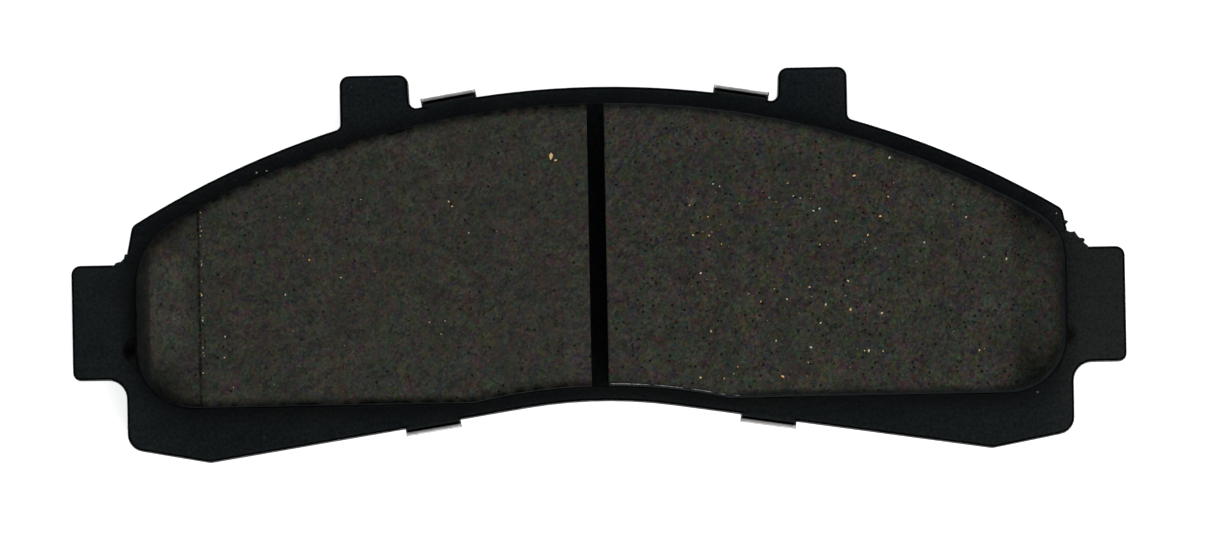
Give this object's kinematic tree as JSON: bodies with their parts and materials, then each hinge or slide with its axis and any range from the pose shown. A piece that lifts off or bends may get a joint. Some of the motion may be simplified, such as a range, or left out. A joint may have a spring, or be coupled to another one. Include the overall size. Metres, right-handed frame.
{
  "type": "disc brake pad",
  "caption": "Disc brake pad: friction lining split by a centre slot, with chamfered ends, on an eared steel backing plate with a clipped-on noise shim.",
  "frame": {"origin": "on the shim's rear face, below the middle of the pad's outline", "axes": "+X along the rotor's tangent, the pad's long way; +Y radially outwards; +Z from the piston towards the rotor, square to the friction face"},
  "size_m": [0.1814, 0.0662, 0.0176],
  "materials": {
    "plate_paint": "satin black powder coat on steel, with a faint rolling grain",
    "friction_material": "matt, mottled dark warm grey with metal flecks and small pits",
    "underlayer_material": "matt, dark brown-grey",
    "bonding_adhesive": "matt black",
    "shim_steel": "bright where cut, satin on the bends",
    "shim_rubber": "matt black, thin coat"
  },
  "bodies": {
    "root": {"backing_plate": "plate_paint", "adhesive_film": "bonding_adhesive", "underlayer": "underlayer_material", "friction_block_left": "friction_material", "friction_block_right": "friction_material", "shim_inner_steel": "shim_steel", "shim_damping_rubber": "shim_rubber", "shim_outer_steel": "shim_steel", "shim_outer_rubber": "shim_rubber"}
  },
  "joints": []
}
